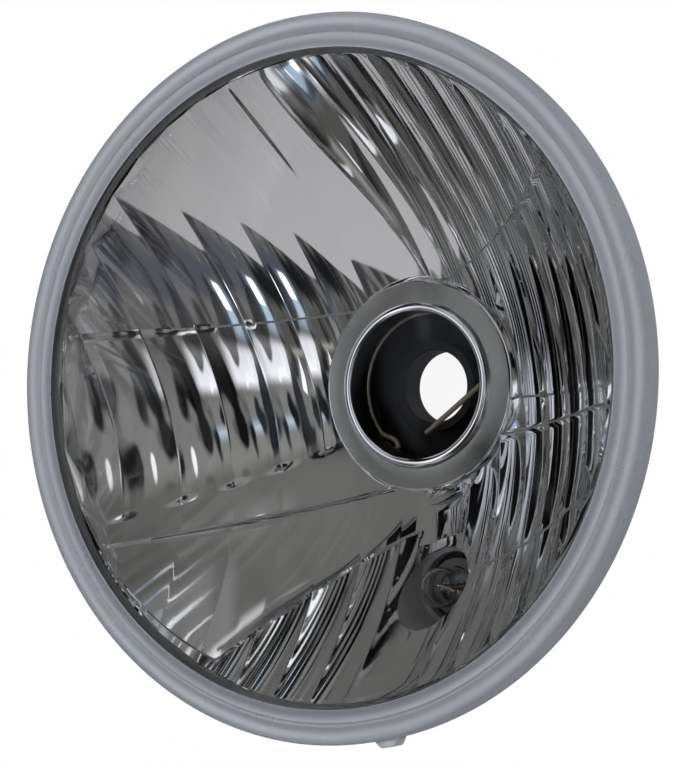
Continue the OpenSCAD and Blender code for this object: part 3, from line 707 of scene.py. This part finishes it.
make_reflector()
make_lens()
make_clip()
for node, material in {
        "lens_bead": BEAD, "seat_ring": STEEL, "seat_rivets": STEEL, "clip_bracket": DARK_STEEL,
        "clip_catch": DARK_STEEL, "clip_rivets": DARK_STEEL, "rubber_boot": RUBBER,
        "position_seal": RUBBER, "position_holder": HOLDER, "position_contact_left": BRASS,
        "position_contact_right": BRASS, "position_bulb_glass": BULB_GLASS,
        "position_bulb_leads": BRASS, "position_filament": STEEL}.items():
    dress(node, material)


# Stage
FLOOR_Z, FLOOR_HALF = -0.26, 1.6
# The floor turns to plain white between these distances from the origin, in metres
WHITE_FROM, WHITE_FULL = 0.35, 0.8
WHITE = (1.0, 1.0, 1.0)


def make_floor():
    """Floor that takes the lamp's shadow and is white to the camera far out."""
    mesh = bpy.data.meshes.new("floor")
    h = FLOOR_HALF
    mesh.from_pydata([(-h, -h, FLOOR_Z), (h, -h, FLOOR_Z), (h, h, FLOOR_Z), (-h, h, FLOOR_Z)],
                     [], [(0, 1, 2, 3)])
    floor = bpy.data.objects.new("floor", mesh)
    bpy.context.scene.collection.objects.link(floor)
    mat, shader = new_material("floor", Roughness=0.9)
    shader.inputs["Base Color"].default_value = (0.86, 0.86, 0.86, 1)
    nodes, link = mat.node_tree.nodes, mat.node_tree.links.new
    light, place = nodes.new("ShaderNodeLightPath"), nodes.new("ShaderNodeNewGeometry")
    away = nodes.new("ShaderNodeVectorMath")
    away.operation = "LENGTH"
    far = nodes.new("ShaderNodeMapRange")
    far.interpolation_type = "SMOOTHSTEP"
    far.inputs["From Min"].default_value = WHITE_FROM
    far.inputs["From Max"].default_value = WHITE_FULL
    seen = nodes.new("ShaderNodeMath")
    seen.operation = "MULTIPLY"
    white, mix = nodes.new("ShaderNodeEmission"), nodes.new("ShaderNodeMixShader")
    link(place.outputs["Position"], away.inputs[0])
    link(away.outputs["Value"], far.inputs["Value"])
    link(far.outputs["Result"], seen.inputs[0])
    link(light.outputs["Is Camera Ray"], seen.inputs[1])
    link(seen.outputs["Value"], mix.inputs["Fac"])
    link(shader.outputs["BSDF"], mix.inputs[1])
    link(white.outputs["Emission"], mix.inputs[2])
    link(mix.outputs["Shader"], nodes["Material Output"].inputs["Surface"])
    mesh.materials.append(mat)
    # Mirror and glass show the room instead
    floor.visible_glossy = False
    floor.visible_transmission = False


# The room that the mirror shows, in degrees round from the lamp's front and up,
# each with its half width, half height, soft edge and colour
ROOM = (
    (20, 55, 90, 30, 20, (0.165, 0.163, 0.152)),
    (-18, 5, 24, 26, 8, (0.25, 0.257, 0.278)),
    (-32, 8, 9, 12, 5, (0.15, 0.152, 0.16)),
    (-20, -22, 24, 10, 8, (0.18, 0.182, 0.18)),
    (55, -18, 34, 13, 6, (0.1, 0.096, 0.09)),
    (12, -22, 14, 16, 5, (0.07, 0.068, 0.064)),
    (18, 8, 7, 22, 4, (0.1, 0.1, 0.097)),
    (10, -46, 15, 7, 3, (0.03, 0.031, 0.035)),
    (52, -46, 26, 9, 4, (0.06, 0.062, 0.075)),
    (-34, 28, 4, 9, 3, (0.52, 0.5, 0.5)),
    (-35, 8, 2.5, 7, 2, (0.4, 0.45, 0.52)),
    (-15, 16, 2, 3, 1.5, (0.1, 0.1, 0.1)),
    (-5, 14, 4, 16, 3, (0.26, 0.27, 0.29)),
    (-18, -4, 6, 3, 3, (0.3, 0.3, 0.32)),
    (27, -19, 3.5, 3, 2, (0.5, 0.48, 0.45)),
    (14, -20, 10, 1.5, 2, (0.26, 0.25, 0.23)),
    (40, 10, 8, 2, 3, (0.32, 0.37, 0.42)),
    (45, 44, 7, 4, 6, (0.26, 0.26, 0.25)),
    (45.5, 46, 1.5, 1.5, 1.2, (1.7, 1.7, 1.7)),
    (30, -36, 5, 8, 5, (0.36, 0.46, 0.58)),
    (30.5, -42, 2.8, 4, 1.2, (2.2, 2.2, 2.2)),
    (-31, 9.5, 2.6, 2.6, 1, (0.62, 0.62, 0.65)),
    (38, -15, 12, 8, 3, (0.62, 0.62, 0.65)),
    (30, 78, 22, 3, 2, (0.75, 0.75, 0.75)),
    (70, 67, 14, 12, 4, (0.29, 0.29, 0.285)),
    (62, 80, 12, 2.5, 2, (1.3, 1.3, 1.3)),
    (85, 66, 4, 7, 3, (0.9, 0.95, 0.95)),
    (85, 16, 3, 10, 3, (0.45, 0.45, 0.45)))
# Colours of the bare room below and above, and the degrees up between which they blend
ROOM_LOW, ROOM_HIGH, ROOM_SPAN = (0.12, 0.12, 0.118), (0.155, 0.153, 0.145), (-30, 60)
# Dark and bright things of the room, as streaks: how many in a degree round and up,
# and how much darker and brighter they are than the patches
STREAKS, STREAK_DARK, STREAK_LIGHT = (0.085, 0.035), 0.02, 1.9
# Values of the noise between which dark turns to light, and light to a glint
STREAK_TURN, GLINT_TURN, GLINT = (0.46, 0.53), (0.65, 0.68), (1.3, 1.32, 1.36)
# Share of the streaks that is left low down, the degrees up where they fade, and how
# much higher they reach on the left
LOW_STREAKS, LOW_FADE, HIGH_FADE = 0.6, (-25, -5), (29, 19)
STREAK_RAISE, RAISE_FADE = 18.0, (3, -5)
# Light from behind the lamp, and where it starts
REAR_LIGHT, REAR_FADE = (0.12, 0.12, 0.125), (0.05, 0.2)
# A pale sheet under the lamp: how steeply its edges are seen, ahead and to the right
SHEET_EDGES, SHEET_SOFT = ((1.28, 0.98), (1.2, 0.51)), 0.02
SHEET_TOP, SHEET_COLOUR = -0.48, (0.545, 0.54, 0.545)


def make_world():
    """White to the camera, and a room with streaks and patches to mirror and glass."""
    world = bpy.data.worlds.new("studio")
    bpy.context.scene.world = world
    world.use_nodes = True
    nodes, link = world.node_tree.nodes, world.node_tree.links.new
    nodes.clear()

    def maths(operation, *values):
        node = nodes.new("ShaderNodeMath")
        node.operation = operation
        for socket, value in zip(node.inputs, values):
            if isinstance(value, (int, float)):
                socket.default_value = value
            else:
                link(value, socket)
        return node.outputs["Value"]

    def fade(value, start, stop):
        """0 at one value, 1 at the other."""
        node = nodes.new("ShaderNodeMapRange")
        node.interpolation_type = "SMOOTHSTEP"
        node.inputs["From Min"].default_value = start
        node.inputs["From Max"].default_value = stop
        link(value, node.inputs["Value"])
        return node.outputs["Result"]

    def blend(factor, under, over):
        node = nodes.new("ShaderNodeMix")
        node.data_type = "RGBA"
        link(factor, node.inputs["Factor"])
        for key, value in (("A", under), ("B", over)):
            if isinstance(value, tuple):
                node.inputs[key].default_value = (*value, 1)
            else:
                link(value, node.inputs[key])
        return node.outputs["Result"]

    def tone_down(value, share):
        node = nodes.new("ShaderNodeVectorMath")
        node.operation = "SCALE"
        link(value, node.inputs["Vector"])
        node.inputs["Scale"].default_value = share
        return node.outputs["Vector"]

    place = nodes.new("ShaderNodeTexCoord")
    split = nodes.new("ShaderNodeSeparateXYZ")
    link(place.outputs["Generated"], split.inputs["Vector"])
    x, y, z = (split.outputs[k] for k in "XYZ")
    ahead = maths("MULTIPLY", y, -1.0)
    around = maths("DEGREES", maths("ARCTAN2", x, ahead))
    upward = maths("DEGREES", maths("ARCSINE", z))
    colour = blend(fade(upward, *ROOM_SPAN), ROOM_LOW, ROOM_HIGH)
    for az, el, half_az, half_el, soft, tone in ROOM:
        sideways = maths("ABSOLUTE", maths("SUBTRACT", around, float(az)))
        high = maths("ABSOLUTE", maths("SUBTRACT", upward, float(el)))
        factor = maths("MULTIPLY", fade(sideways, half_az + soft, half_az - soft),
                       fade(high, half_el + soft, half_el - soft))
        colour = blend(factor, colour, tone)
    streak_at = nodes.new("ShaderNodeCombineXYZ")
    link(maths("MULTIPLY", around, STREAKS[0]), streak_at.inputs["X"])
    link(maths("MULTIPLY", upward, STREAKS[1]), streak_at.inputs["Y"])
    streak = nodes.new("ShaderNodeTexNoise")
    streak.inputs["Scale"].default_value = 1.0
    streak.inputs["Detail"].default_value = 1.5
    link(streak_at.outputs["Vector"], streak.inputs["Vector"])
    lit = fade(streak.outputs["Fac"], *STREAK_TURN)
    streaked = blend(lit, tone_down(colour, STREAK_DARK), tone_down(colour, STREAK_LIGHT))
    streaked = blend(fade(streak.outputs["Fac"], *GLINT_TURN), streaked, GLINT)
    amount = maths("ADD", maths("MULTIPLY", fade(upward, *LOW_FADE), 1 - LOW_STREAKS),
                   LOW_STREAKS)
    leftward = maths("MULTIPLY", fade(around, *RAISE_FADE), STREAK_RAISE)
    amount = maths("MULTIPLY", amount, fade(maths("SUBTRACT", upward, leftward), *HIGH_FADE))
    colour = blend(amount, colour, streaked)
    on_sheet = fade(z, SHEET_TOP + SHEET_SOFT, SHEET_TOP - SHEET_SOFT)
    for forward, right in SHEET_EDGES:
        edge = maths("ADD", z, maths("ADD", maths("MULTIPLY", ahead, forward),
                                     maths("MULTIPLY", x, right)))
        on_sheet = maths("MULTIPLY", on_sheet, fade(edge, SHEET_SOFT, -SHEET_SOFT))
    colour = blend(on_sheet, colour, SHEET_COLOUR)
    light = nodes.new("ShaderNodeLightPath")
    behind = blend(light.outputs["Is Transmission Ray"], REAR_LIGHT, WHITE)
    colour = blend(fade(y, *REAR_FADE), colour, behind)
    colour = blend(light.outputs["Is Camera Ray"], colour, WHITE)
    back = nodes.new("ShaderNodeBackground")
    out = nodes.new("ShaderNodeOutputWorld")
    link(colour, back.inputs["Color"])
    link(back.outputs["Background"], out.inputs["Surface"])


LAMP_SIZE = 0.9


def make_lamp(name, place, power):
    """Round lamp that faces the origin and isn't seen in mirror or glass."""
    data = bpy.data.lights.new(name, "AREA")
    data.shape = "DISK"
    data.size = LAMP_SIZE
    data.energy = power
    lamp = bpy.data.objects.new(name, data)
    lamp.location = place
    lamp.rotation_euler = (-Vector(place)).to_track_quat("-Z", "Y").to_euler()
    lamp.visible_glossy = False
    lamp.visible_transmission = False
    bpy.context.scene.collection.objects.link(lamp)


make_floor()
make_world()
make_lamp("key", (-0.9, -1.1, 1.2), 26)
make_lamp("fill", (1.2, -0.6, 0.9), 19)
make_lamp("rear", (0.3, 1.3, 0.8), 18)

bpy.context.scene.view_settings.view_transform = "Standard"
